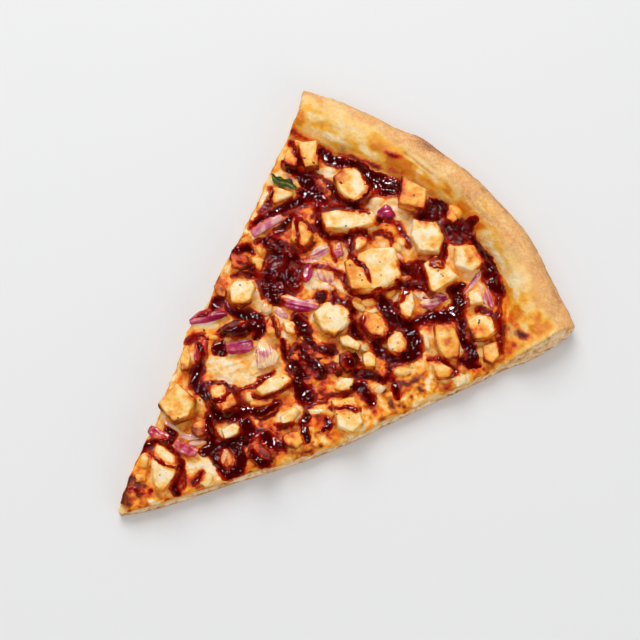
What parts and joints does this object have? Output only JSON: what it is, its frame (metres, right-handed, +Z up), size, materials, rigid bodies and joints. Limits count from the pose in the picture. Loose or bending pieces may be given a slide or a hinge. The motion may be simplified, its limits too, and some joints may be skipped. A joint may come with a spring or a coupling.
{
  "type": "barbecue chicken pizza slice",
  "caption": "Wedge of pizza with a raised crust, melted cheese, diced chicken, red onion and a thick barbecue sauce drizzle, resting flat.",
  "frame": {"origin": "centre of the bounding box's underside, on the surface the slice rests on", "axes": "+Z up; +Y from the point of the slice towards the middle of the crust; +X to the right when looking along +Y"},
  "size_m": [0.175, 0.2304, 0.02],
  "materials": {
    "crust": "baked bread crust, matte, golden brown with darker toasted patches and a dusting of flour; pale open crumb on the cut faces",
    "cheese_and_sauce": "melted cheese, cream to golden with browned patches, under glossy dark red-brown barbecue sauce",
    "chicken": "diced roast chicken, cream to golden, moist satin, glazed with sauce in streaks",
    "red_onion": "softened red onion, translucent pale pink to purple, moist and glossy",
    "herb": "wilted dark green leaf, satin"
  },
  "bodies": {
    "root": {"dough": "crust", "cheese": "cheese_and_sauce", "chicken_01": "chicken", "chicken_02": "chicken", "chicken_03": "chicken", "chicken_04": "chicken", "chicken_05": "chicken", "chicken_06": "chicken", "chicken_07": "chicken", "chicken_08": "chicken", "chicken_09": "chicken", "chicken_10": "chicken", "chicken_11": "chicken", "chicken_12": "chicken", "chicken_13": "chicken", "chicken_14": "chicken", "chicken_15": "chicken", "chicken_16": "chicken", "chicken_17": "chicken", "chicken_18": "chicken", "chicken_19": "chicken", "chicken_20": "chicken", "chicken_21": "chicken", "chicken_22": "chicken", "chicken_23": "chicken", "chicken_24": "chicken", "chicken_25": "chicken", "chicken_26": "chicken", "chicken_27": "chicken", "chicken_28": "chicken", "chicken_29": "chicken", "chicken_30": "chicken", "chicken_31": "chicken", "chicken_32": "chicken", "chicken_33": "chicken", "chicken_34": "chicken", "chicken_35": "chicken", "chicken_36": "chicken", "chicken_37": "chicken", "chicken_38": "chicken", "chicken_39": "chicken", "chicken_40": "chicken", "chicken_41": "chicken", "chicken_42": "chicken", "chicken_43": "chicken", "onion_01": "red_onion", "onion_02": "red_onion", "onion_03": "red_onion", "onion_04": "red_onion", "onion_05": "red_onion", "onion_06": "red_onion", "onion_07": "red_onion", "onion_08": "red_onion", "onion_09": "red_onion", "onion_10": "red_onion", "onion_11": "red_onion", "onion_12": "red_onion", "onion_13": "red_onion", "herb_leaf": "herb"}
  },
  "joints": []
}
